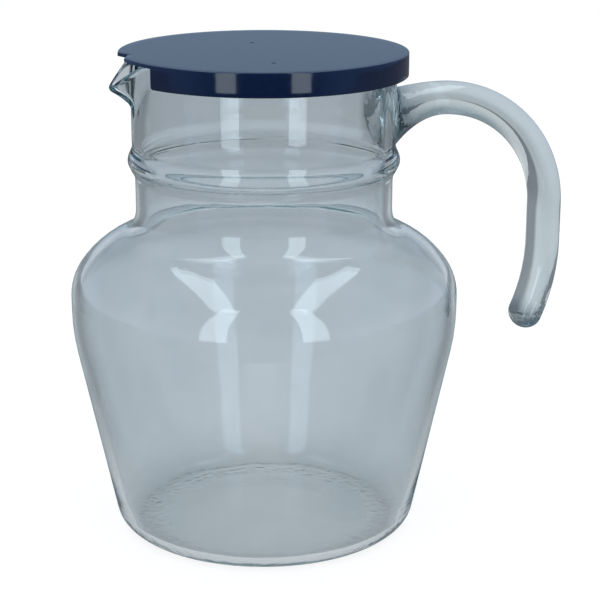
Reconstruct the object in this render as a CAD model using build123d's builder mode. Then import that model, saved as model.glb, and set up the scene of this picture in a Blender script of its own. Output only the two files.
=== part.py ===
from build123d import *
from math import asin, atan2, cos, hypot, radians, sin, tan
import os

# A clear blown-glass jug with a pulled spout, a hook handle and a lift-off plastic lid.
# Millimetres, +Z up, origin on the table under the jug's axis, handle towards +X, spout towards -X.

# Jug body: radii and rises of the outline's corners, from the table up.
# The two blends are the shares of the straight band that its rounded ends take up.
foot_radius = 56.9
foot_round = 7.0
belly_radius = 73.8
belly_rise = 79.2
belly_band = 22.9
belly_blend = 0.37
shoulder_blend = 0.45
shoulder_rise = 18.3
neck_radius = 48.5
neck_round = 9.0
neck_rise = 19.3
bead_reach = 2.7
bead_height = 9.2
bead_round = 2.2
collar_reach = 1.0
collar_rise = 34.7
rim_round = 1.2

# Glass: wall, floor and the shallow push-up under the floor
wall = 3.2
floor_thickness = 6.0
floor_round = 11.0
push_up_height = 2.5
push_up_flat = 12.0
foot_ring_width = 6.0

# Spout: a beak drawn out of the collar, whose lip drops below the rim
spout_overhang = 9.0
spout_sink = 2.5
spout_rise = 20.0
spout_drop = 11.2
spout_half_angle = 34.0
spout_nose = 7.0
spout_sections = 5
lip_bulge = 0.8

# Handle: an oval rod that leaves the collar level, bends down and ends free
handle_width = 16.0
handle_thickness = 12.8
handle_below_rim = 19.5
handle_root_length = 21.0
handle_bend_radius = 43.6
handle_drop = 15.0
handle_tail_radius = 75.0
handle_tail_angle = 28.2
end_round_share = 0.9
weld_height = 24.0
weld_width = 30.0
weld_sag = 6.5
weld_sink = 4.0
weld_sections = 5

# Lid: plate, skirt outside the collar and centring ring inside it
lid_plate = 1.3
lid_edge_round = 0.5
skirt_wall = 1.5
skirt_depth = 7.4
skirt_spacing = 2.9
skirt_gap_half_angle = 28.5
skirt_gap_round = 1.0
ring_wall = 1.4
ring_depth = 6.0
ring_clearance = 0.35
notch_width = 13.0
notch_depth = 3.0
notch_round = 1.2

# Heights and radii that follow from the sizes above
belly_top = belly_rise + belly_band
neck_foot = belly_top + shoulder_rise
bead_foot = neck_foot + neck_rise
bead_top = bead_foot + bead_height
rim_height = bead_top + collar_rise
bead_radius = neck_radius + bead_reach
collar_radius = neck_radius + collar_reach
bore_radius = collar_radius - wall
spout_reach = collar_radius + spout_overhang
tip_height = rim_height - spout_drop
lid_radius = collar_radius + skirt_spacing + skirt_wall


def inset_corner(before, corner, after, first_gap, second_gap):
    """The corner of an outline whose two sides move to their left by the two gaps."""
    into = (Vector(*corner) - Vector(*before)).normalized()
    onward = (Vector(*after) - Vector(*corner)).normalized()
    first = Vector(-into.Y, into.X)
    second = Vector(-onward.Y, onward.X)
    shared = first.dot(second)
    spread = 1 - shared * shared
    along_first = first * ((first_gap - shared * second_gap) / spread)
    along_second = second * ((second_gap - shared * first_gap) / spread)
    moved = Vector(*corner) + along_first + along_second
    return (moved.X, moved.Y)


def blend_radius(before, corner, after, run):
    """The radius of the rounding at a corner that takes up the given length of each side."""
    into = Vector(*corner) - Vector(*before)
    onward = Vector(*after) - Vector(*corner)
    return run / tan(radians(into.get_angle(onward) / 2))


def beak_corners(root_radius, reach, nose):
    """The spout's three corners from above: both roots, and the point whose rounding ends at reach."""
    half_angle = radians(spout_half_angle)
    across = root_radius * sin(half_angle)
    along = root_radius * cos(half_angle)
    to_nose = reach - nose - along
    taper = atan2(across, to_nose) - asin(nose / hypot(across, to_nose))
    point = along + across / tan(taper)
    return [(-along, across), (-point, 0), (-along, -across)]


# Corners of the outer outline, as radius and height
table_corner = (foot_radius, 0)
belly_corner = (belly_radius, belly_rise)
shoulder_corner = (belly_radius, belly_top)
neck_corner = (neck_radius, neck_foot)
bead_corner = (neck_radius, bead_foot)
belly_round = blend_radius(table_corner, belly_corner, shoulder_corner, belly_blend * belly_band)
shoulder_round = blend_radius(belly_corner, shoulder_corner, neck_corner, shoulder_blend * belly_band)

# Solid outer form of the jug, without its spout
with BuildPart() as jug_form:
    with BuildSketch(Plane.XZ):
        with BuildLine():
            outside = FilletPolyline(
                (0, 0),
                table_corner,
                belly_corner,
                shoulder_corner,
                neck_corner,
                bead_corner,
                (bead_radius, bead_foot + bead_height / 3),
                (bead_radius, bead_top - bead_height / 3),
                (collar_radius, bead_top),
                (collar_radius, rim_height),
                radius=[
                    foot_round,
                    belly_round,
                    shoulder_round,
                    neck_round,
                    bead_round,
                    bead_round,
                    bead_round,
                    bead_round,
                ],
            )
            Polyline(outside @ 1, (0, rim_height), (0, 0))
        make_face()
    revolve(axis=Axis.Z)

# Solid form of the space inside, without the spout's channel
with BuildPart() as bore_form:
    with BuildSketch(Plane.XZ):
        with BuildLine():
            inside = FilletPolyline(
                (0, floor_thickness),
                inset_corner((0, 0), table_corner, belly_corner, floor_thickness, wall),
                inset_corner(table_corner, belly_corner, shoulder_corner, wall, wall),
                inset_corner(belly_corner, shoulder_corner, neck_corner, wall, wall),
                inset_corner(shoulder_corner, neck_corner, bead_corner, wall, wall),
                (neck_radius - wall, bead_foot),
                (bore_radius, bead_top),
                (bore_radius, rim_height),
                radius=[
                    floor_round,
                    belly_round - wall,
                    shoulder_round - wall,
                    neck_round + wall,
                    bead_round,
                    bead_round,
                ],
            )
            Polyline(inside @ 1, (0, rim_height), (0, floor_thickness))
        make_face()
    revolve(axis=Axis.Z)

# Glass vessel: body, spout and hollow are one gather of glass
with BuildPart() as vessel:
    add(jug_form.part)
    # The beak is added at the collar's radius, and its channel is cut at the bore's radius.
    # Its nose moves out along a cubic up to the tip, then it runs straight up to the rim.
    for radius, inset, mode in [(collar_radius, 0, Mode.ADD), (bore_radius, wall, Mode.SUBTRACT)]:
        root_radius = radius - spout_sink
        nose = spout_nose - inset
        top = tip_height + inset
        for step in range(spout_sections):
            share = step / (spout_sections - 1)
            reach = root_radius + (spout_sink + spout_overhang) * share**3
            with BuildSketch(Plane.XY.offset(top - spout_rise * (1 - share))) as beak_section:
                with BuildLine():
                    corners = beak_corners(root_radius, reach, nose)
                    FilletPolyline(corners, radius=[nose])
                    Line(corners[2], corners[0])
                make_face()
        loft(mode=mode)
        extrude(beak_section.sketch, amount=spout_drop - inset, mode=mode)
    add(bore_form.part, mode=Mode.SUBTRACT)
    # Lip: the beak is cut off along a curve that falls from the rim to the tip
    with BuildSketch(Plane.XZ):
        with BuildLine():
            lip = SagittaArc((-spout_reach, tip_height), (-collar_radius, rim_height), lip_bulge)
            Polyline(lip @ 1, (-spout_reach, rim_height), lip @ 0)
        make_face()
    extrude(amount=belly_radius, both=True, mode=Mode.SUBTRACT)
    # Push-up: a shallow dome with a flat top, which leaves a flat ring to stand on
    with BuildSketch(Plane.XZ):
        with BuildLine():
            dome_edge = (foot_radius - foot_round - foot_ring_width, 0)
            TangentArc((push_up_flat, push_up_height), dome_edge, tangent=(1, 0))
            Polyline(dome_edge, (0, 0), (0, push_up_height), (push_up_flat, push_up_height))
        make_face()
    revolve(axis=Axis.Z, mode=Mode.SUBTRACT)
    fillet(vessel.edges().group_by(Axis.Z)[-1], radius=min(rim_round, 0.4 * wall))
vessel.part.label = "glass_vessel"

# Glass handle: a second gather, welded to the collar at its upper end only
with BuildPart() as handle:
    bend_x = collar_radius + handle_root_length
    level = rim_height - handle_below_rim
    # Weld: towards the collar the rod dips and swells
    weld_start = collar_radius - weld_sink
    for step in range(weld_sections):
        near = 1 - step / (weld_sections - 1)
        swell = near**3
        dip = weld_sag * near**2 * (3 - 2 * near)
        height = handle_thickness + (weld_height - handle_thickness) * swell
        width = handle_width + (weld_width - handle_width) * swell
        with BuildSketch(Plane.YZ.offset(bend_x - (bend_x - weld_start) * near)):
            with Locations((0, level - dip)):
                Ellipse(width / 2, height / 2)
    loft()
    with BuildLine(Plane.XZ) as spine:
        bend = JernArc((bend_x, level), (1, 0), handle_bend_radius, -90)
        drop = Line(bend @ 1, bend @ 1 - Vector(0, 0, handle_drop))
        tail = JernArc(drop @ 1, (0, -1), handle_tail_radius, -handle_tail_angle)
    with BuildSketch(Plane(spine.line @ 0, x_dir=(0, 1, 0), z_dir=spine.line % 0)):
        Ellipse(handle_width / 2, handle_thickness / 2)
    sweep(path=spine.line)
    # Free end: rounded over by a little less than the oval's tightest curve
    tightest_curve = handle_thickness**2 / (2 * handle_width)
    fillet(handle.faces().sort_by(Axis.Z)[0].edges(), radius=end_round_share * tightest_curve)
    add(jug_form.part, mode=Mode.SUBTRACT)
handle.part.label = "glass_handle"

# Lid: one moulding that rests on the rim
with BuildPart() as lid:
    with BuildSketch(Plane.XY.offset(rim_height)) as plate_outline:
        Circle(lid_radius)
        with BuildLine():
            FilletPolyline(
                (-lid_radius, notch_width / 2),
                (notch_depth - lid_radius, 0),
                (-lid_radius, -notch_width / 2),
                radius=[notch_round],
            )
            Polyline(
                (-lid_radius, -notch_width / 2),
                (-lid_radius - notch_depth, 0),
                (-lid_radius, notch_width / 2),
            )
        make_face(mode=Mode.SUBTRACT)
    extrude(amount=lid_plate)
    # Skirt and centring ring hang from the plate, and both are open over the spout
    gap_angle = radians(skirt_gap_half_angle)
    gap_corner = (-2 * lid_radius * cos(gap_angle), 2 * lid_radius * sin(gap_angle))
    skirt = (lid_radius, skirt_wall, skirt_depth)
    centring_ring = (bore_radius - ring_clearance, ring_wall, ring_depth)
    for radius, thickness, depth in [skirt, centring_ring]:
        with BuildSketch(Plane.XY.offset(rim_height)):
            Circle(radius)
            Circle(radius - thickness, mode=Mode.SUBTRACT)
            with BuildLine():
                Polyline((0, 0), gap_corner, (gap_corner[0], -gap_corner[1]), close=True)
            make_face(mode=Mode.SUBTRACT)
        extrude(amount=-depth)
    fillet(lid.edges().group_by(Axis.Z)[0].filter_by(GeomType.LINE), radius=skirt_gap_round)
    fillet(lid.edges().group_by(Axis.Z)[-1], radius=lid_edge_round)
lid.part.label = "lid"

os.makedirs("parts", exist_ok=True)
for piece in [vessel.part, handle.part, lid.part]:
    export_step(piece, f"parts/{piece.label}.step")
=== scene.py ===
# %% [markdown]
# # A glass jug with a lift-off lid
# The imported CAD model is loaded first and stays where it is. Everything after it dresses that
# frame: one piece of clear glass, one navy plastic lid, and a plain white studio round them.

import bpy
import numpy as np
from mathutils import Matrix, Vector


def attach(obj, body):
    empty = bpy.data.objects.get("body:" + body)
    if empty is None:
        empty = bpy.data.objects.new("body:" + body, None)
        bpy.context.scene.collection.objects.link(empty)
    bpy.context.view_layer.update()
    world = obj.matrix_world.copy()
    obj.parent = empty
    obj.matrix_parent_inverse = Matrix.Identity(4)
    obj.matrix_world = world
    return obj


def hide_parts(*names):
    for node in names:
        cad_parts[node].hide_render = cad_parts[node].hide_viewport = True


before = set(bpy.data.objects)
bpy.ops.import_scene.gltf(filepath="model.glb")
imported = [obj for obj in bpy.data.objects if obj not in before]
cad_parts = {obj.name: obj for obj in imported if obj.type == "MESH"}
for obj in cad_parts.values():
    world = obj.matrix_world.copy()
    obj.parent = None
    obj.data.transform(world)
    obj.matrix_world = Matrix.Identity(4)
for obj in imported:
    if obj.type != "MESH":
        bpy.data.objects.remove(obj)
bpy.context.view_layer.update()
MM = 0.001

# %% [markdown]
# ## Surfaces from arrays
# Each piece below is a grid of points: rows run along a profile and columns run round it. Blender
# has tools that spin or sweep a profile, but a grid from numpy lets one formula bend the wall into
# a spout or thin out a rim, with every point kept in step with its neighbours.


# %% Faces from grids
def grid_quads(numbers):
    """Four-sided faces between neighbouring rows and columns of a table of point numbers."""
    corners = [numbers[:-1, :-1], numbers[:-1, 1:], numbers[1:, 1:], numbers[1:, :-1]]
    return np.stack(corners, axis=-1).reshape(-1, 4)


def close_round(numbers):
    """The table with its first column repeated at the end, so that the grid closes on itself."""
    return np.column_stack([numbers, numbers[:, :1]])


def fan(middle, ring):
    """Three-sided faces from one middle point to each side of a closed ring of points."""
    ahead = np.roll(ring, -1)
    return np.stack([np.full_like(ring, middle), ahead, ring], axis=-1)


# %% Closed pieces
def next_corner(corners, sides):
    """For each corner of each face, the point at that face's following corner."""
    last = np.cumsum(sides) - 1
    ahead = np.arange(len(corners)) + 1
    ahead[last] = last - sides + 1
    return corners[ahead]


def closed_piece(name, points, quads, triangles):
    """A smooth mesh object at the origin from points in millimetres and faces by point number,
    and the numbers of the points that its faces use, in the mesh's order."""
    corners = np.concatenate([quads.ravel(), triangles.ravel()])
    used, corners = np.unique(corners, return_inverse=True)
    sides = np.concatenate([np.full(len(quads), 4), np.full(len(triangles), 3)])
    mesh = bpy.data.meshes.new(name)
    mesh.vertices.add(len(used))
    mesh.vertices.foreach_set("co", (points[used] * MM).astype(np.float32).ravel())
    mesh.loops.add(len(corners))
    mesh.loops.foreach_set("vertex_index", corners.astype(np.int32))
    mesh.polygons.add(len(sides))
    mesh.polygons.foreach_set("loop_start", (np.cumsum(sides) - sides).astype(np.int32))
    mesh.polygons.foreach_set("use_smooth", np.ones(len(sides), bool))
    mesh.update(calc_edges=True)
    mesh.validate()
    piece = bpy.data.objects.new(name, mesh)
    bpy.context.scene.collection.objects.link(piece)
    ends = np.stack([corners, next_corner(corners, sides)], axis=-1)
    counts = np.unique(np.sort(ends, axis=1), axis=0, return_counts=True)[1]
    print(name, int((sides - 2).sum()), "triangles, open edges", int((counts != 2).sum()))
    return piece, used


# %% [markdown]
# ## Outlines with rounded corners
# Glass and moulded plastic have no sharp corners. An outline is written as its few corners, each
# with its rounding and with the spacing of points on the run that leads to it. Bezier curves could
# do the same, but arcs and runs keep the wall's real radii, and points stand close only where the
# outline bends or where something is shaped out of it.


# %% Rounded outlines
def straight_run(start, end, spacing):
    """Points between two ends, both ends left out, at most the spacing apart."""
    parts = max(1, int(np.ceil(np.linalg.norm(end - start) / spacing)))
    return start + (end - start) * (np.arange(1, parts) / parts)[:, None]


def rounded_outline(start, corners, end, turn_step):
    """Straight runs joined by arcs: an arc starts r tan(turn / 2) before its corner and ends as far
    after it, and gets a point every turn_step degrees. A corner is radius, height, rounding and
    spacing. A point that falls on the one before it is left out."""
    table = np.array(corners, float)
    stations = np.concatenate([[start], table[:, :2], [end]])
    pieces = [stations[:1]]
    for before, corner, after, (rounding, spacing) in zip(
        stations, stations[1:], stations[2:], table[:, 2:]
    ):
        into = (corner - before) / np.linalg.norm(corner - before)
        onward = (after - corner) / np.linalg.norm(after - corner)
        turned = np.arctan2(into[0] * onward[1] - into[1] * onward[0], into @ onward)
        arc_start = corner - into * rounding * np.tan(abs(turned) / 2)
        side = np.sign(turned) * np.array([-into[1], into[0]])
        steps = max(2, int(np.ceil(abs(np.degrees(turned)) / turn_step)))
        angle = np.linspace(0, abs(turned), steps + 1)[:, None]
        arc = arc_start + rounding * (np.sin(angle) * into + (1 - np.cos(angle)) * side)
        pieces += [straight_run(pieces[-1][-1], arc_start, spacing), arc]
    pieces += [straight_run(pieces[-1][-1], stations[-1], table[-1, 3]), stations[-1:]]
    outline = np.concatenate(pieces)
    same_place = 1e-6
    moved = np.linalg.norm(np.diff(outline, axis=0), axis=1) > same_place
    return outline[np.concatenate([[True], moved])]


# %% [markdown]
# ## The jug's wall
# The jug is blown into a mould: a foot ring, a flared body, a round shoulder, a narrow neck and a
# straight collar. Blown glass is about as thick everywhere, so the inside follows the outside. Its
# outline runs from under the foot, up the outside, over the rim and down the inside to the floor. A
# thin shell with a Solidify modifier would be quicker, but this one can have a foot and a rim.

# %% Sizes of the glass
# Each corner is a radius, a height, a rounding and the spacing of points on the run before it.
wall = 3.2
rim_height, rim_rounding = 183.6, 1.5
collar_radius, collar_foot = 49.5, 151.0
neck_radius = 48.5
belly_radius = 73.75
push_up = 2.5
floor_top = push_up + wall
outer_side = [
    (22, push_up, 80, 6),  # hollow under the foot
    (44, 0, 20, 5),  # inner edge of the foot ring
    (56.9, 0, 9, 3),  # heel
    (belly_radius, 79.2, 80, 8),  # foot of the belly
    (belly_radius, 99.2, 19, 4),  # top of the belly
    (64.2, 111.1, 34.6, 2.5),  # shoulder
    (49.4, 118.6, 9, 2),  # hollow under the neck
    (neck_radius, 124.7, 15, 2),  # foot of the neck
    (neck_radius, 136.5, 20, 2),  # top of the neck
    (collar_radius, collar_foot, 20, 0.42),  # foot of the collar
]
rim = [
    (collar_radius, rim_height, rim_rounding, 1.5),
    (collar_radius - wall, rim_height, rim_rounding, 0.5),
]
print("jug", 2 * belly_radius, "mm across and", rim_height, "mm up to the rim")


# %% Inside of the wall
def inside_of(corners, before, after):
    """The corners moved in by the wall, from the top down. A corner moves by the wall times the sum
    of its two sides' normals over one plus their product, and its rounding loses the wall where the
    outline bends inwards and gains it where it bends outwards."""
    table = np.array(corners, float)
    sides = np.diff(np.concatenate([[before], table[:, :2], [after]]), axis=0)
    sides /= np.linalg.norm(sides, axis=1, keepdims=True)
    normals = np.stack([-sides[:, 1], sides[:, 0]], -1)
    product = (normals[:-1] * normals[1:]).sum(axis=1, keepdims=True)
    bend = sides[:-1, 0] * sides[1:, 1] - sides[:-1, 1] * sides[1:, 0]
    moved = table[:, :2] + wall * (normals[:-1] + normals[1:]) / (1 + product)
    rounding = table[:, 2] - wall * np.sign(bend)
    spacing = np.roll(table[:, 3], -1)
    return np.column_stack([moved, rounding, spacing])[::-1]


# The inside of the collar is spaced as its outside is.
inner_side = inside_of(outer_side, (0, push_up), rim[0][:2])
inner_side[0, 3] = rim[0][3]
all_corners = np.concatenate([outer_side, rim, inner_side])
wall_outline = rounded_outline((0, push_up), all_corners, (0, floor_top), turn_step=6)
print("wall outline", wall_outline.shape)

# %% [markdown]
# ## The bead
# Where the neck meets the collar, the mould leaves a soft ring that stands out, with a shallower
# hollow behind it on the inside and the fine line of the mould's joint just below its crest. A few
# edge loops could be scaled up for it, but as a wave added to the outline it runs into the neck and
# the collar without an edge.

# %% Bead on the outline
bead_level, bead_half, bead_reach = 143.9, 6.4, 2.15
inside_share = 0.6
joint_level, joint_half, joint_depth = 142.0, 0.65, 0.12


def bead_wave(height):
    """How far the wall stands out: the square of a cosine across the bead."""
    return bead_reach * np.cos(np.pi / 2 * np.clip((height - bead_level) / bead_half, -1, 1)) ** 2


def bell(distance, width, power=2):
    """One in the middle and less round it: e to minus the distance over the width, taken to an even
    power. The higher the power, the flatter the top and the steeper the sides."""
    return np.exp(-((distance / width) ** power))


outside = np.arange(len(wall_outline)) < np.argmax(wall_outline[:, 1])
wall_outline[:, 0] += bead_wave(wall_outline[:, 1]) * np.where(outside, 1, inside_share)
wall_outline[outside, 0] -= joint_depth * bell(wall_outline[outside, 1] - joint_level, joint_half)
on_bead = np.abs(wall_outline[:, 1] - bead_level) < bead_half
print("bead radius", round(float(wall_outline[on_bead, 0].max()), 2))

# %% [markdown]
# ## The spout
# While the collar is hot, its edge is pulled out into a beak. Seen from above, the beak is two
# straight flanks that meet in a round nose. It reaches furthest at the tip and comes back to the
# collar below it along a hooked curve, and its lip falls away from the rim towards the tip.
# Sculpting could do this too, but a formula bends the outside and the inside alike and keeps the
# glass whole.

# %% Beak sizes
beak_half_angle = np.radians(34.0)
beak_nose = 7.0
beak_inset = 2.5
beak_root = collar_radius - beak_inset
beak_out = 11.5
beak_rise = 29.0
beak_blend = 2.0
lip_start = 46.5
lip_drop = 11.2
lip_curve = 1.15
thinning = 0.2
pull_foot = 153.0
print("beak's tip", beak_root + beak_out, "mm from the axis and", lip_drop, "mm below the rim")


# %% Beak formulas
def beak_radius(angle, out):
    """Distance from the axis to the beak at an angle from its middle: the nose circle near the
    middle, then the flank, a straight line that touches the nose and ends at the beak's root. Out
    is how far the nose has moved out from the root."""
    centre = beak_root - beak_nose + out
    along, across = beak_root * np.cos(beak_half_angle), beak_root * np.sin(beak_half_angle)
    slant = np.hypot(across, centre - along)
    taper = np.arctan2(across, centre - along) - np.arcsin(beak_nose / slant)
    point = along + across / np.tan(taper)
    flank = point * np.sin(taper) / np.sin(np.clip(angle, 0, beak_half_angle) + taper)
    touch = np.arctan2(beak_nose * np.cos(taper), centre + beak_nose * np.sin(taper))
    bow = np.sqrt(np.clip(beak_nose**2 - (centre * np.sin(angle)) ** 2, 0, None))
    return np.where(angle < touch, centre * np.cos(angle) + bow, flank)


def soft_larger(first, second, reach):
    """The larger of two values, and where they are nearer than reach, a rounded step between them:
    the square of what is missing to reach, over four times reach, is added."""
    missing = np.clip(reach - np.abs(first - second), 0, None)
    return np.maximum(first, second) + missing**2 / (4 * reach)


# %% Collar with the beak
def collar_skin(height, angle):
    """The collar's outer face with the beak pulled out of it. Each column moves out with the cube
    of the height above the beak's foot and shrinks so that its rim lands on the lip, which falls as
    it goes out."""
    from_spout = np.minimum(np.abs(angle - np.pi), beak_half_angle)
    lip_reach = soft_larger(collar_radius, beak_radius(from_spout, beak_out), beak_blend)
    lip_span = beak_root + beak_out - lip_start
    beyond = np.clip((lip_reach * np.cos(from_spout) - lip_start) / lip_span, 0, 1)
    share = np.clip((height - pull_foot) / (rim_height - pull_foot), 0, None)
    landed = height - lip_drop * beyond**lip_curve * share
    rise = np.clip((height - rim_height + beak_rise) / beak_rise, 0, None)
    reach = soft_larger(collar_radius, beak_radius(from_spout, beak_out * rise**3), beak_blend)
    return np.stack([reach * np.cos(angle), reach * np.sin(angle), landed], -1)


def pull_spout(radius, height, angle):
    """The wall's points after the beak is pulled. A point keeps its depth below the outer face,
    less what the glass has thinned towards the tip, and the depth runs square to the face: against
    the cross product of its two tangents."""
    step = 1e-3
    skin = collar_skin(height, angle)
    uphill = collar_skin(height + step, angle) - collar_skin(height - step, angle)
    sideways = collar_skin(height, angle + step) - collar_skin(height, angle - step)
    normal = np.cross(sideways, uphill)
    normal /= np.linalg.norm(normal, axis=-1, keepdims=True)
    furthest = beak_out + beak_root - collar_radius
    stretched = (np.hypot(skin[..., 0], skin[..., 1]) - collar_radius) / furthest
    depth = (collar_radius - radius) * (1 - thinning * stretched)
    plain = np.stack([radius * np.cos(angle), radius * np.sin(angle), height], -1)
    return np.where((height > pull_foot)[..., None], skin - depth[..., None] * normal, plain)


# %% Wall grid
# Columns stand closer over the spout than round the rest of the jug.
spout_edge = np.pi - np.radians(38)
plain_columns, spout_columns = 95, 47
plain_turn = np.linspace(0, spout_edge, plain_columns)
spout_turn = np.linspace(spout_edge, np.pi, spout_columns)
half_turn = np.concatenate([plain_turn, spout_turn[1:]])
turn = np.concatenate([half_turn, 2 * np.pi - half_turn[-2:0:-1]])
profile = wall_outline[1:-1]
rows, columns = len(profile), len(turn)
wall_points = pull_spout(*np.broadcast_arrays(profile[:, :1], profile[:, 1:], turn[None, :]))
wall_numbers = np.arange(rows * columns).reshape(rows, columns)
under_middle, floor_middle = rows * columns, rows * columns + 1
poles = np.array([[0, 0, push_up], [0, 0, floor_top]])
pulled = wall_points[profile[:, 1] > pull_foot]
print("wall grid", wall_points.shape, "spout reach", round(float(-pulled[..., 0].min()), 1))

# %% [markdown]
# ## The handle
# A second gather of hot glass is stuck to the collar, drawn out, bent down and cut off round. Two
# solids that only touch would show a seam, because light would leave the one and enter the other.
# So the handle is one skin with the wall: a window is left open in the wall's grid, rings of points
# lead from the window's edge to an oval on the wall, and the rod grows out of that oval.

# %% Sizes of the handle
rod_half_width = 8.0
rod_half_thickness = 6.4
rod_level = 164.1
rod_top, rod_foot = rod_level + rod_half_thickness, rod_level - rod_half_thickness
root_length = 21.0
root_half_width = 16.5
root_foot = 146.6
root_dip = 2.6
root_flick, flick_length = 3.8, 1.1
root_top = rod_top - root_dip + root_flick
bend_x = collar_radius + root_length
bend_radius = 43.59
drop_length = 15.0
tail_radius = 75.0
tail_angle = np.radians(23.5)
print("handle's root", round(root_top - root_foot, 1), "mm high and", 2 * root_half_width, "wide")

# %% Window in the wall
window_half = 16
window_low, window_high = 145.3, 178.5
in_reach = (profile[:, 1] > window_low) & (profile[:, 1] < window_high)
window_rows = np.where(outside[1:-1] & in_reach)[0]
first_row, last_row = window_rows[0], window_rows[-1]
sideways = np.arange(-window_half, window_half)
upwards = np.arange(first_row, last_row)
window_row = np.concatenate(
    [0 * sideways + first_row, upwards, 0 * sideways + last_row, upwards[::-1] + 1]
)
window_column = np.concatenate(
    [sideways, 0 * upwards + window_half, -sideways, 0 * upwards - window_half]
)
window_edge = wall_numbers[window_row, window_column % columns]
edge_across = collar_radius * turn[1] * window_column
edge_height = wall_points[window_row, window_column % columns, 2]
print("window", len(upwards), "by", len(sideways), "faces, edge of", len(window_edge), "points")


# %% Rings from the window to the root
def wall_radius(height):
    """The radius of the wall's outside at a height, read off its outline."""
    return np.interp(height, profile[window_rows, 1], profile[window_rows, 0])


def on_wall(across, height):
    """Points on the wall at a distance measured round the collar and at a height."""
    swing, radius = across / collar_radius, wall_radius(height)
    return np.stack([radius * np.cos(swing), radius * np.sin(swing), height], -1)


lead_count = 7
root_middle = (root_top + root_foot) / 2
root_half_height = (root_top - root_foot) / 2
clock = np.arctan2((edge_height - root_middle) / root_half_height, edge_across / root_half_width)
root_across = root_half_width * np.cos(clock)
root_height = root_middle + root_half_height * np.sin(clock)
lead = np.linspace(0, 1, lead_count + 1)[1:, None]
lead_across = edge_across + (root_across - edge_across) * lead
lead_height = edge_height + (root_height - edge_height) * lead
lead_rings = on_wall(lead_across, lead_height)
print("lead rings", lead_rings.shape)

# %% Rings of the root
# Away from the collar the top dips and rises again by a square, with a short flick at the wall. The
# underside comes up by a square, and the width draws in along a quarter ellipse. The rings crowd
# towards the wall.
root_count, crowding = 25, 1.6
near = np.linspace(0, 1, root_count + 1)[1:, None] ** crowding
left = 1 - near
top = rod_top - root_dip * left**2 + root_flick * np.exp(-root_length * near / flick_length)
foot = rod_foot - (rod_foot - root_foot) * left**2
half_width = rod_half_width + (root_half_width - rod_half_width) * (1 - np.sqrt(1 - left**2))
root_y = half_width * np.cos(clock)
root_x = np.sqrt(wall_radius(root_height) ** 2 - root_y**2) * left + bend_x * near
root_z = (top + foot) / 2 + (top - foot) / 2 * np.sin(clock)
root_rings = np.stack([root_x, root_y, root_z], -1)
print("root rings", root_rings.shape)


# %% Path of the rod
def along_arc(start, heading, radius, angles):
    """Points and headings along an arc that leaves start and turns to the right: radius times the
    sine forward, and radius times one less the cosine to the right."""
    heading = np.array(heading, float)
    right = np.array([heading[1], -heading[0]])
    sine, cosine = np.sin(angles)[:, None], np.cos(angles)[:, None]
    return start + radius * (sine * heading + (1 - cosine) * right), cosine * heading + sine * right


bend_count, drop_count, tail_count, cap_count = 33, 7, 15, 11
outwards, downwards = np.array([1, 0]), np.array([0, -1])
bend_start = np.array([bend_x, rod_level])
bend_angles = np.linspace(0, np.pi / 2, bend_count + 1)[1:]
bend_centre, bend_heading = along_arc(bend_start, outwards, bend_radius, bend_angles)
drop = np.linspace(0, drop_length, drop_count + 1)[1:, None]
drop_centre = bend_centre[-1] + drop * downwards
drop_heading = downwards + 0 * drop
tail_angles = np.linspace(0, tail_angle, tail_count + 1)[1:]
tail_centre, tail_heading = along_arc(drop_centre[-1], downwards, tail_radius, tail_angles)
cap = np.linspace(0, np.pi / 2, cap_count + 1)[1:-1]
cap_centre = tail_centre[-1] + tail_heading[-1] * rod_half_thickness * np.sin(cap)[:, None]
cap_heading = tail_heading[-1] + 0 * cap_centre
rod_end = tail_centre[-1] + tail_heading[-1] * rod_half_thickness
print("rod ends at", np.round(rod_end, 1))


# %% Rings of the rod
def rod_ring(centre, heading, size):
    """Oval rings square to the path: the width lies along Y and the thickness along the path's
    upper side, and size scales both."""
    upper = np.stack([-heading[:, 1], heading[:, 0]], -1)
    thick = rod_half_thickness * size * np.sin(clock)
    ring_x = centre[:, :1] + upper[:, :1] * thick
    ring_z = centre[:, 1:] + upper[:, 1:] * thick
    return np.stack([ring_x, rod_half_width * size * np.cos(clock), ring_z], -1)


centres = np.concatenate([bend_centre, drop_centre, tail_centre, cap_centre])
headings = np.concatenate([bend_heading, drop_heading, tail_heading, cap_heading])
ring_sizes = np.concatenate([np.ones(len(centres) - len(cap)), np.cos(cap)])[:, None]
rod_rings = rod_ring(centres, headings, ring_sizes)
print("rod rings", rod_rings.shape)

# %% One skin of glass
handle_points = np.concatenate([lead_rings, root_rings, rod_rings])
around = len(window_edge)
handle_first = rows * columns + 2
handle_numbers = handle_first + np.arange(len(handle_points) * around).reshape(-1, around)
handle_numbers = np.concatenate([window_edge[None, :], handle_numbers])
rod_pole = handle_first + len(handle_points) * around
in_window = np.zeros((rows - 1, columns), bool)
in_window[first_row:last_row, sideways] = True
wall_quads = grid_quads(close_round(wall_numbers)).reshape(rows - 1, columns, 4)[~in_window]
glass_points = np.concatenate(
    [wall_points.reshape(-1, 3), poles, handle_points.reshape(-1, 3), [[rod_end[0], 0, rod_end[1]]]]
)
glass_fans = [
    fan(under_middle, wall_numbers[0]),
    fan(floor_middle, wall_numbers[-1])[:, ::-1],
    fan(rod_pole, handle_numbers[-1])[:, ::-1],
]
glass_jug, glass_used = closed_piece(
    "glass_jug",
    glass_points,
    np.concatenate([wall_quads, grid_quads(close_round(handle_numbers))]),
    np.concatenate(glass_fans),
)
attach(glass_jug, "jug")
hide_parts("glass_vessel", "glass_handle")

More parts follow.
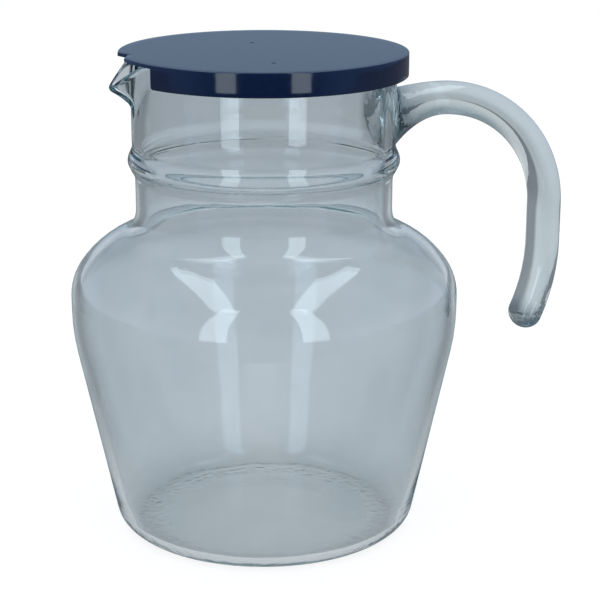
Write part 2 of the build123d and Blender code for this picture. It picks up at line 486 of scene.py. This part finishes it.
# %% [markdown]
# ## Marks of the making
# The wall was blown and the handle was drawn, and the finish needs to know which is which. Vertex
# paint could mark it by hand, but here the shape itself gives each point three values. Flow is the
# place that unevenness is read at. On the wall that is the point's own place. On the handle the way
# along the rod counts for about an eighth, so that what is round on the wall becomes a long streak.
# Gather and shade deepens the tint and the relief: none on the plain wall, one on the handle,
# whose solid rod holds more glass. At the rod's root and cut end it rises further, partly for the
# thicker glass and mostly as painted shade. It is also raised at the heel and along the mould's
# joint, which come out darker. Crease says how wrinkled the skin is: where the handle was pressed
# on and cut off, under the mould's joint and on the foot.

# %% Flow on the points
drawn_out = 0.12
flow_rings = lead_count + 12
ring_middles = np.concatenate([root_rings, rod_rings]).mean(axis=1)
ring_steps = np.linalg.norm(np.diff(ring_middles, axis=0), axis=1)
path = np.concatenate([np.zeros(lead_count + 1), np.cumsum(ring_steps)])
oval = np.stack([0 * clock, rod_half_width * np.cos(clock), rod_half_thickness * np.sin(clock)], -1)
drawn = np.array([collar_radius, 0, rod_level]) + oval + path[:, None, None] * [drawn_out, 0, 0]
drawn_share = np.clip(np.arange(len(path)) / flow_rings, 0, 1)
handle_flow = handle_points + (drawn - handle_points) * drawn_share[:, None, None]
end_flow = handle_flow[-1:].mean(axis=1)
flow = np.concatenate([wall_points.reshape(-1, 3), poles, handle_flow.reshape(-1, 3), end_flow])
flow_values = glass_jug.data.attributes.new("flow", "FLOAT_VECTOR", "POINT")
flow_values.data.foreach_set("vector", (flow[glass_used] * MM).astype(np.float32).ravel())
print("rod", round(float(path[-1])), "mm long, flow on", len(glass_used), "points")


# %% Gather on the points
def keep_value(name, row_values, ring_values):
    """Keeps a value with each point of the jug: a row's value all round the wall, none at the two
    poles, a ring's value all round the handle, and the last ring's at its end."""
    on_rows, on_rings = np.repeat(row_values, columns), np.repeat(ring_values, around)
    values = np.concatenate([on_rows, [0, 0], on_rings, ring_values[-1:]])[glass_used]
    attribute = glass_jug.data.attributes.new(name, "FLOAT", "POINT")
    attribute.data.foreach_set("value", values.astype(np.float32))
    print(name, "up to", round(float(values.max()), 2))


# Past one, gather deepens the tint past the handle's. At the root and the cut end that is partly
# the thicker glass and mostly painted shade; at the heel and in the joint it is a darker tint.
root_shade, root_shade_length = 3.6, 11
end_shade, end_length = 3.2, 9
heel_height, heel_start, heel_width = 11, 46, 4
joint_darkening, joint_darkening_half = 2.9, 0.5
profile_radius, profile_height = profile[:, 0], profile[:, 1]
grown = np.clip(np.arange(1, len(path) + 1) / lead_count, 0, 1)
at_end = bell(path[-1] - path, end_length, power=4)
# Painted shade at the handle's root and cut end, added as extra gather.
heavy_and_shaded = root_shade * bell(path, root_shade_length) + end_shade * at_end
heel_share = np.clip((profile_radius - heel_start) / heel_width, 0, 1)
at_heel = bell(profile_height, heel_height) * heel_share
in_joint = bell(profile_height - joint_level, joint_darkening_half) * outside[1:-1]
keep_value("gather_and_shade", at_heel + joint_darkening * in_joint, grown * (1 + heavy_and_shaded))

# %% Creases on the points
rod_crease, root_crease, end_crease = 0.1, 2.2, 2.8
root_crease_length = 14
joint_crease, joint_crease_level, joint_crease_half = 0.35, joint_level - 2, 2.5
foot_crease, foot_height, foot_start, foot_width = 0.9, 5, 34, 8
at_root = bell(path, root_crease_length)
ring_crease = grown * (rod_crease + root_crease * at_root + end_crease * at_end)
at_joint = bell(profile_height - joint_crease_level, joint_crease_half) * outside[1:-1]
foot_share = np.clip((profile_radius - foot_start) / foot_width, 0, 1)
at_foot = bell(profile_height, foot_height) * foot_share
keep_value("crease", joint_crease * at_joint + foot_crease * at_foot, ring_crease)

# %% [markdown]
# ## The lid
# The lid is one moulding: a thin plate, a skirt outside the collar and a centring ring inside it.
# Over the spout the skirt and the ring stop, and the plate's edge has a small notch. Cutting these
# out of a turned shape would leave ragged faces, so the section is one closed outline again, and at
# each angle the skirt's depth and the plate's radius say how far it is stretched.

# %% Section of the lid
lid_radius = 53.9
plate, skirt_wall, skirt_depth = 1.3, 1.5, 7.4
ring_radius, ring_inside, ring_depth = 45.95, 44.55, 6.0
plate_top, skirt_inside = rim_height + plate, lid_radius - skirt_wall
skirt_foot, ring_foot = rim_height - skirt_depth, rim_height - ring_depth
edge_round, foot_round, hollow_round = 0.45, 0.3, 0.4
lid_corners = [
    (lid_radius, plate_top, edge_round, 4),
    (lid_radius, skirt_foot, foot_round, 2),
    (skirt_inside, skirt_foot, foot_round, 2),
    (skirt_inside, rim_height, hollow_round, 2),
    (ring_radius, rim_height, hollow_round, 2),
    (ring_radius, ring_foot, foot_round, 2),
    (ring_inside, ring_foot, foot_round, 2),
    (ring_inside, rim_height, hollow_round, 4),
]
lid_section = rounded_outline((0, plate_top), lid_corners, (0, rim_height), turn_step=18)
print("lid section", lid_section.shape)

# %% Gap and notch
gap_half_angle = np.radians(28.5)
gap_round = 1.0
notch_half_width, notch_depth, notch_round = 7.0, 3.0, 0.25


def skirt_share(angle):
    """How much of the skirt's depth is left: none over the spout, and beside the gap a corner
    rounded by a quarter circle up to the full depth."""
    along = lid_radius * (np.abs(angle - np.pi) - gap_half_angle)
    corner = np.clip(1 - along / gap_round, 0, 1)
    lost = gap_round * (1 - np.sqrt(1 - corner**2))
    return np.where(along >= 0, 1 - lost / skirt_depth, 0)


def notch(angle):
    """How far the plate's edge is cut back: a V with a rounded point, a hyperbola, none outside its
    width."""
    along = lid_radius * np.abs(angle - np.pi) / notch_half_width
    v = np.hypot(1, notch_round) - np.hypot(along, notch_round)
    return notch_depth * np.clip(v, 0, None) / (np.hypot(1, notch_round) - notch_round)


# Besides the even columns, some stand at both edges of the gap and close together in the notch.
even_columns, notch_columns, notch_reach = 288, 49, 8
gap_steps = np.array([-1e-4, 0, 0.1, 0.3, 0.6, 1])
gap_turns = np.pi + np.outer([-1, 1], gap_half_angle + gap_steps / lid_radius).ravel()
notch_turns = np.pi + np.linspace(-notch_reach, notch_reach, notch_columns) / lid_radius
even_turns = np.linspace(0, 2 * np.pi, even_columns + 1)[:-1]
lid_turn = np.unique(np.concatenate([even_turns, gap_turns, notch_turns]))
print("lid columns", len(lid_turn))

# %% Lid grid
# The notch is cut into the edge alone: it fades with a power of the way in from the edge.
cut_start, cut_power = 40, 6
section_radius, section_height = lid_section[1:-1, :1], lid_section[1:-1, 1:]
below = np.clip(rim_height - section_height, 0, None)
lid_height = section_height + below * (1 - skirt_share(lid_turn))
towards_edge = np.clip((section_radius - cut_start) / (lid_radius - cut_start), 0, 1)
lid_reach = section_radius - notch(lid_turn) * towards_edge**cut_power
lid_points = np.stack([lid_reach * np.cos(lid_turn), lid_reach * np.sin(lid_turn), lid_height], -1)
lid_numbers = np.arange(lid_height.size).reshape(lid_height.shape)
lid_poles = np.array([[0, 0, plate_top], [0, 0, rim_height]])
top_fan = fan(lid_numbers.size, lid_numbers[0])[:, ::-1]
inside_fan = fan(lid_numbers.size + 1, lid_numbers[-1])
plastic_lid = closed_piece(
    "plastic_lid",
    np.concatenate([lid_points.reshape(-1, 3), lid_poles]),
    grid_quads(close_round(lid_numbers))[:, ::-1],
    np.concatenate([top_fan, inside_fan]),
)[0]
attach(plastic_lid, "lid")
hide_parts("lid")

# %% [markdown]
# ## Nodes in a few words
# A finish is a tree of nodes. The Shader Editor is the place to try one out. Written down, the same
# few kinds come again and again, so each gets a helper that fills its inputs and gives its result.


# %% Node helpers
def add_node(tree, kind, inputs, **switches):
    """A node of a kind with its switches set, each input filled with a value or linked to a
    socket."""
    node = tree.nodes.new("ShaderNode" + kind)
    for switch, value in switches.items():
        setattr(node, switch, value)
    for socket, value in inputs.items():
        if isinstance(value, bpy.types.NodeSocket):
            tree.links.new(value, node.inputs[socket])
        else:
            node.inputs[socket].default_value = value
    return node


def worked_out(tree, operation, *values):
    """The result of a sum or other operation on one to three numbers."""
    return add_node(tree, "Math", dict(enumerate(values)), operation=operation).outputs["Value"]


def measured(tree, operation, first, second):
    """A number taken from two vectors, such as their distance or their product."""
    inputs = {0: first, 1: second}
    return add_node(tree, "VectorMath", inputs, operation=operation).outputs["Value"]


def going_over(tree, value, start, end, first=0.0, last=1.0):
    """A level that goes over smoothly from the first to the last as a value goes from start to
    end."""
    limits = {"From Min": start, "From Max": end, "To Min": first, "To Max": last}
    node = add_node(tree, "MapRange", {"Value": value, **limits}, interpolation_type="SMOOTHSTEP")
    return node.outputs["Result"]


def mixed(tree, share, first, second, **switches):
    """The first colour where the share is none, the second where it is one."""
    inputs = {"Factor": share, "A": first, "B": second}
    return add_node(tree, "Mix", inputs, data_type="RGBA", **switches).outputs["Result"]


# %% [markdown]
# ## Unevenness, shared by both finishes
# Neither glass nor moulded plastic is perfectly even: one has slow waves from the mould, the other
# a fine grain. Both are the same effect at different scales, so it is a node group, built once. It
# gives a height for a Bump node and a tone that lightens or deepens a colour.

# %% Unevenness group
unevenness = bpy.data.node_groups.new("unevenness", "ShaderNodeTree")
unevenness.interface.new_socket("Place", in_out="INPUT", socket_type="NodeSocketVector")
unevenness.interface.new_socket("Scale", in_out="INPUT", socket_type="NodeSocketFloat")
unevenness.interface.new_socket("Height", in_out="OUTPUT", socket_type="NodeSocketFloat")
unevenness.interface.new_socket("Tone", in_out="OUTPUT", socket_type="NodeSocketFloat")
group_in = unevenness.nodes.new("NodeGroupInput")
group_out = unevenness.nodes.new("NodeGroupOutput")
where = {"Vector": group_in.outputs["Place"], "Scale": group_in.outputs["Scale"]}
# The patches are read off another layer of the noise, so that they don't follow the swell.
swell_detail, patch_detail, patch_layer = 1.0, 3.0, 7.0
palest, deepest = 0.3, 0.7
swell = add_node(unevenness, "TexNoise", {**where, "Detail": swell_detail})
patch_inputs = {**where, "Detail": patch_detail, "W": patch_layer}
patches = add_node(unevenness, "TexNoise", patch_inputs, noise_dimensions="4D")
patch_limits = {"From Min": palest, "From Max": deepest}
spread = add_node(unevenness, "MapRange", {"Value": patches.outputs["Fac"], **patch_limits})
unevenness.links.new(swell.outputs["Fac"], group_out.inputs["Height"])
unevenness.links.new(spread.outputs["Result"], group_out.inputs["Tone"])
print("group", unevenness.name, len(unevenness.nodes), "nodes")

# %% [markdown]
# ## Clear glass
# Thick household glass is never quite colourless: it holds back some red, most where light runs far
# through it, along its edges and in the solid handle. A plain Principled glass shows no such edge,
# so the tint is deeper at grazing angles, partly for that longer path and partly as painted shade
# on the edges. It is deeper on the handle, and deeper still, mostly as painted shade, at the
# handle's root and cut end. It is darker at the heel and along the mould's joint, and a thin
# volume adds the rest. Slow waves in the surface bend what is seen through it, fine creases break
# it up where the skin was pressed or cut, and the foot is scuffed where it stands.

# %% Tint of the glass
body_tint, handle_tint = (0.691, 0.723, 0.748, 1), (0.578, 0.610, 0.635, 1)
# The edge tint is painted shade at grazing angles, partly standing for the longer path.
patch_tint, edge_shade_tint = (0.94, 0.96, 0.965, 1), (0.45, 0.58, 0.61, 1)
edge_shade_start = 0.75
wave_scale = 38.0
glass = bpy.data.materials.new("clear_aqua_glass")
glass.use_nodes = True
glass_tree = glass.node_tree
glass_shader = glass_tree.nodes["Principled BSDF"]
flow_read = add_node(glass_tree, "Attribute", {}, attribute_name="flow").outputs["Vector"]
gather_shade_read = add_node(glass_tree, "Attribute", {}, attribute_name="gather_and_shade").outputs["Fac"]
waves = add_node(
    glass_tree, "Group", {"Place": flow_read, "Scale": wave_scale}, node_tree=unevenness
)
# Gather past one deepens the tint beyond the handle's: painted shade at its root and cut end.
tint_and_shade = mixed(glass_tree, gather_shade_read, body_tint, handle_tint, clamp_factor=False)
patchy = mixed(glass_tree, waves.outputs["Tone"], tint_and_shade, patch_tint, blend_type="MULTIPLY")
facing = add_node(glass_tree, "LayerWeight", {"Blend": 0.5}).outputs["Facing"]
# Painted edge shade: the tint deepens towards grazing angles.
edge_shaded = mixed(glass_tree, going_over(glass_tree, facing, edge_shade_start, 1.0), patchy, edge_shade_tint)
glass_tree.links.new(edge_shaded, glass_shader.inputs["Base Color"])
print("tints", body_tint[:3], handle_tint[:3])

# %% Surface of the glass
scuff_height, scuff_roughness = 0.4 * MM, 0.25
crease_scale = 300.0
gather_relief, crease_relief, relief_height = 2.5, 2.5, 0.1 * MM
glass_place = add_node(glass_tree, "TexCoord", {}).outputs["Object"]
height_read = add_node(glass_tree, "SeparateXYZ", {"Vector": glass_place}).outputs["Z"]
scuff_limits = {"From Max": scuff_height, "To Min": scuff_roughness, "To Max": 0.0}
scuff = add_node(glass_tree, "MapRange", {"Value": height_read, "From Min": 0.0, **scuff_limits})
glass_tree.links.new(scuff.outputs["Result"], glass_shader.inputs["Roughness"])
relief = worked_out(glass_tree, "MULTIPLY_ADD", gather_shade_read, gather_relief, 1.0)
wavy = worked_out(glass_tree, "MULTIPLY", waves.outputs["Height"], relief)
crease_read = add_node(glass_tree, "Attribute", {}, attribute_name="crease").outputs["Fac"]
wrinkles = add_node(
    glass_tree, "Group", {"Place": glass_place, "Scale": crease_scale}, node_tree=unevenness
)
creased = worked_out(glass_tree, "MULTIPLY", wrinkles.outputs["Height"], crease_read)
uneven = worked_out(glass_tree, "MULTIPLY_ADD", creased, crease_relief, wavy)
glass_bump = add_node(
    glass_tree, "Bump", {"Height": uneven, "Distance": relief_height, "Strength": 1.0}
)
glass_tree.links.new(glass_bump.outputs["Normal"], glass_shader.inputs["Normal"])
print("relief", relief_height / MM, "mm on the plain wall")

# %% Depth of the glass
glass_shader.inputs["IOR"].default_value = 1.5
glass_shader.inputs["Transmission Weight"].default_value = 1.0
depth_tint, depth_density = (0.86, 0.93, 0.945, 1), 50.0
absorption = add_node(
    glass_tree, "VolumeAbsorption", {"Color": depth_tint, "Density": depth_density}
)
glass_output = glass_tree.nodes["Material Output"]
glass_tree.links.new(absorption.outputs["Volume"], glass_output.inputs["Volume"])
glass_jug.data.materials.append(glass)
print("glass nodes", len(glass_tree.nodes))

# %% [markdown]
# ## Navy plastic
# The lid is glossy moulded plastic. Its surface copies the mould's polish, so it has a faint grain
# and a slightly uneven gloss, and on its top stand the two small marks of the pins that push it out
# of the mould. The marks are too fine for the grid, so they are read from the distance to two
# points.

# %% Grain of the plastic
deep_navy, pale_navy = (0.0075, 0.0170, 0.052, 1), (0.0090, 0.0200, 0.060, 1)
smoothest, roughest = 0.07, 0.11
grain_scale, grain_height = 420.0, 0.004 * MM
navy = bpy.data.materials.new("navy_plastic")
navy.use_nodes = True
navy_tree = navy.node_tree
navy_shader = navy_tree.nodes["Principled BSDF"]
lid_place = add_node(navy_tree, "TexCoord", {}).outputs["Object"]
grain = add_node(
    navy_tree, "Group", {"Place": lid_place, "Scale": grain_scale}, node_tree=unevenness
)
grain_tone = grain.outputs["Tone"]
colour = mixed(navy_tree, grain_tone, deep_navy, pale_navy)
navy_tree.links.new(colour, navy_shader.inputs["Base Color"])
gloss = add_node(
    navy_tree, "MapRange", {"Value": grain_tone, "To Min": smoothest, "To Max": roughest}
)
grain_relief = {"Height": grain.outputs["Height"], "Distance": grain_height, "Strength": 1.0}
grain_bump = add_node(navy_tree, "Bump", grain_relief)
print("grain", round(1 / grain_scale / MM, 1), "mm wide")

# %% Marks of the pins
pin_places = [(0.2, 19.0, plate_top), (-4.1, -31.2, plate_top)]
pin_radius, pin_flat, pin_height = 1.1 * MM, 0.4, 0.3 * MM
from_pins = [measured(navy_tree, "DISTANCE", lid_place, Vector(pin) * MM) for pin in pin_places]
nearest = worked_out(navy_tree, "MINIMUM", *from_pins)
on_pin = going_over(navy_tree, nearest, pin_flat * pin_radius, pin_radius, 1.0, 0.0)
rough = worked_out(navy_tree, "ADD", gloss.outputs["Result"], on_pin)
navy_tree.links.new(rough, navy_shader.inputs["Roughness"])
pin_relief = {"Height": on_pin, "Distance": pin_height, "Normal": grain_bump.outputs["Normal"]}
pin_bump = add_node(navy_tree, "Bump", pin_relief)
navy_tree.links.new(pin_bump.outputs["Normal"], navy_shader.inputs["Normal"])
plastic_lid.data.materials.append(navy)
print("plastic nodes", len(navy_tree.nodes))

# %% [markdown]
# ## Camera
# The camera stands where the picture was taken from: a little to the spout's side of the handle's
# plane and a little above the jug, with a long lens. Lamps and floor are placed in the directions
# that this view gives, to the right, to the back and up.

# %% Camera
view_turn, view_tilt, view_roll = np.radians(-15.0), np.radians(16.474), np.radians(0.15)
view_distance = 0.68807
view_middle = Vector((13.22, -3.54, 88.38)) * MM
aside = Vector((np.cos(view_turn), np.sin(view_turn), 0))
behind = Vector((-np.sin(view_turn), np.cos(view_turn), 0))
to_camera = Vector((0, 0, np.sin(view_tilt))) - behind * np.cos(view_tilt)
camera = bpy.data.objects.new("camera", bpy.data.cameras.new("camera"))
camera.data.lens = 107.08
camera.data.sensor_width = 36.0
camera.location = view_middle + to_camera * view_distance
roll = Matrix.Rotation(view_roll, 4, "Z")
camera.rotation_euler = (to_camera.to_track_quat("Z", "Y").to_matrix().to_4x4() @ roll).to_euler()
bpy.context.scene.collection.objects.link(camera)
bpy.context.scene.camera = camera
print("camera at", [round(v, 3) for v in camera.location])

# %% [markdown]
# ## Lamps
# Glass shows its lamps. Two tall strips stand in front, left and right of the camera, and reach
# from the floor's level up to two long ones that hang overhead and run to the back. So each pair is
# mirrored in the shoulder as one bent band, and the strips also show on the upright collar. Point
# lamps would only give dots.

# %% Lamps
lamp_colour = (0.80, 0.92, 1.0)


def soft_lamp(name, place, turned, size, strength):
    """A rectangular lamp at a place to the right, to the back and up, in metres. Its power is pi
    times its area times the strength, the brightness at which a mirror would show it."""
    lamp = bpy.data.lights.new(name, "AREA")
    lamp.shape = "RECTANGLE"
    lamp.size, lamp.size_y = size
    lamp.energy = strength * np.pi * size[0] * size[1]
    lamp.color = lamp_colour
    holder = bpy.data.objects.new(name, lamp)
    holder.location = aside * place[0] + behind * place[1] + Vector((0, 0, place[2]))
    holder.rotation_euler = turned
    bpy.context.scene.collection.objects.link(holder)
    print(name, [round(v, 2) for v in holder.location])


# %% Two strips and two overhead lamps
strip_back, strip_foot, strip_top = -0.80, -0.02, 1.551
strip_level = (strip_foot + strip_top) / 2
strip_size, strip_strength = (0.24, strip_top - strip_foot), 2.9
overhead_out, overhead_back, overhead_level = 0.5775, -0.0215, 1.571
overhead_size, overhead_strength = (0.336, 1.795), 2.6
splay_out, splay_run = 0.055, 1.787
splay = np.arctan2(splay_out, splay_run)
for name, hand, strip_out in [("left", -1, -0.41), ("right", 1, 0.45)]:
    from_jug = (aside * strip_out + behind * strip_back).normalized()
    upright = from_jug.to_track_quat("Z", "Y").to_euler()
    strip_place = (strip_out, strip_back, strip_level)
    soft_lamp(name + "_strip", strip_place, upright, strip_size, strip_strength)
    flat = (0, 0, view_turn - hand * splay)
    overhead_place = (overhead_out * hand, overhead_back, overhead_level)
    soft_lamp(name + "_overhead", overhead_place, flat, overhead_size, overhead_strength)

# %% [markdown]
# ## World
# The room is white for the camera and for what is seen through the glass, and grows grey-blue
# overhead. Mirrored in glass and plastic it is grey-blue behind and beside the jug and dark in
# front, as in a studio whose walls are black behind the camera. Matt surfaces also get soft light
# from above. Real walls would do too, but a world takes no room and throws no shadow.

# %% Directions in the room
world = bpy.data.worlds.new("white_studio")
world.use_nodes = True
bpy.context.scene.world = world
world_tree = world.node_tree
world_tree.nodes.clear()
direction = add_node(world_tree, "TexCoord", {}).outputs["Generated"]
skyward = add_node(world_tree, "SeparateXYZ", {"Vector": direction}).outputs["Z"]
frontward = measured(world_tree, "DOT_PRODUCT", direction, -behind)
rightward = measured(world_tree, "DOT_PRODUCT", direction, aside)
sideward = worked_out(world_tree, "ABSOLUTE", rightward)
print("the camera's side is", [round(v, 2) for v in -behind])


# %% Tones of the room
def shade(value, limits, below, above):
    """A colour that goes over smoothly from one to another as a value goes from the lower to the
    upper limit. The value is the cosine to a direction: one straight that way, minus one away."""
    return mixed(world_tree, going_over(world_tree, value, *limits), below, above)


white = (1, 1, 1, 1)
back_tone, front_tone = (0.26, 0.35, 0.47, 1), (0.014, 0.019, 0.03, 1)
side_tone, sky_tone = (0.17, 0.26, 0.46, 1), (0.9, 0.95, 1.0, 1)
ceiling_tone = (0.46, 0.52, 0.55, 1)
front_limits, side_limits = (-0.5, 0.4), (0.5, 0.95)
ceiling_limits, sky_limits = (0.0, 0.35), (0.4, 1.0)
in_depth = shade(frontward, front_limits, back_tone, front_tone)
mirrored = shade(sideward, side_limits, in_depth, side_tone)
through = shade(skyward, ceiling_limits, white, ceiling_tone)
from_above = shade(skyward, sky_limits, mirrored, sky_tone)
world_rays = add_node(world_tree, "LightPath", {})
lit = mixed(world_tree, world_rays.outputs["Is Diffuse Ray"], mirrored, from_above)
seen = mixed(world_tree, world_rays.outputs["Is Transmission Ray"], lit, through)
shown = mixed(world_tree, world_rays.outputs["Is Camera Ray"], seen, white)
background = add_node(world_tree, "Background", {"Color": shown})
add_node(world_tree, "OutputWorld", {"Surface": background.outputs["Background"]})
print("world nodes", len(world_tree.nodes))

# %% [markdown]
# ## Light paths
# In thick glass light is thrown from wall to wall many times. With Blender's four mirrored bounces
# such places would stay black, so the limits are raised.

# %% Bounces
cycles = bpy.context.scene.cycles
cycles.max_bounces = cycles.glossy_bounces = cycles.transmission_bounces = 64
print("bounces", cycles.max_bounces)

# %% [markdown]
# ## Floor
# The jug stands on pale paper that runs back out of view. It takes the jug's shadow, and a glow
# that only the camera, mirrors and glass see brings it up to white. More light would do that too,
# but it would also drown the shadow. In mirrors the glow is a card no wider than the jug, because a
# bright surround on all sides would wash out the edges of the glass. Seen through glass the card
# grows wider to the back, and it fades there and beside it.

# %% Floor
floor_half, floor_front, floor_back = 1.5, -0.3, 2.5
floor_level = -0.05 * MM
floor_corners = [
    (-floor_half, floor_front),
    (floor_half, floor_front),
    (floor_half, floor_back),
    (-floor_half, floor_back),
]
floor_points = np.array(floor_corners) @ np.array([aside, behind]) + [0, 0, floor_level]
floor_mesh = bpy.data.meshes.new("floor")
floor_mesh.from_pydata(floor_points.tolist(), [], [(0, 1, 2, 3)])
floor = bpy.data.objects.new("floor", floor_mesh)
bpy.context.scene.collection.objects.link(floor)
print("floor", len(floor_mesh.vertices), "corners")

# %% Paper
paper = bpy.data.materials.new("pale_paper")
paper.use_nodes = True
paper_tree = paper.node_tree
paper_shader = paper_tree.nodes["Principled BSDF"]
paper_shader.inputs["Base Color"].default_value = (0.20, 0.20, 0.20, 1)
paper_shader.inputs["Roughness"].default_value = 0.9
paper_shader.inputs["Specular IOR Level"].default_value = 0.0
paper_shader.inputs["Emission Color"].default_value = white
floor_mesh.materials.append(paper)
print("paper on", floor.name)

# %% Glow of the paper
glow, beside_card, far_share = 0.88, 0.28, 0.71
mirror_half, card_fade = 0.07, 0.08
card_near, card_far, card_length = 0.06, 0.26, 0.6
far_start, far_end = 0.35, 0.75
paper_rays = add_node(paper_tree, "LightPath", {})
paper_place = add_node(paper_tree, "TexCoord", {}).outputs["Object"]
to_right = measured(paper_tree, "DOT_PRODUCT", paper_place, aside)
to_back = measured(paper_tree, "DOT_PRODUCT", paper_place, behind)
off_middle = worked_out(paper_tree, "ABSOLUTE", to_right)
mirror_glow = going_over(paper_tree, off_middle, 0.0, mirror_half, glow, 0.0)
in_mirror = worked_out(paper_tree, "MULTIPLY", paper_rays.outputs["Is Glossy Ray"], mirror_glow)
card_half = going_over(paper_tree, to_back, 0.0, card_length, card_near, card_far)
off_card = worked_out(paper_tree, "SUBTRACT", off_middle, card_half)
card_glow = going_over(paper_tree, off_card, 0.0, card_fade, glow, beside_card)
far_off = going_over(paper_tree, to_back, far_start, far_end, 1.0, far_share)
in_glass = worked_out(paper_tree, "MULTIPLY", far_off, card_glow)
through_glass = paper_rays.outputs["Is Transmission Ray"]
reflected = add_node(paper_tree, "Mix", {"Factor": through_glass, "A": in_mirror, "B": in_glass})
lift = worked_out(
    paper_tree,
    "MULTIPLY_ADD",
    paper_rays.outputs["Is Camera Ray"],
    glow,
    reflected.outputs["Result"],
)
paper_tree.links.new(lift, paper_shader.inputs["Emission Strength"])
print("paper nodes", len(paper_tree.nodes))

# %% [markdown]
# ## Finish
# The picture is shown through Blender's Standard view transform.

# %% Finish
bpy.context.scene.view_settings.view_transform = "Standard"
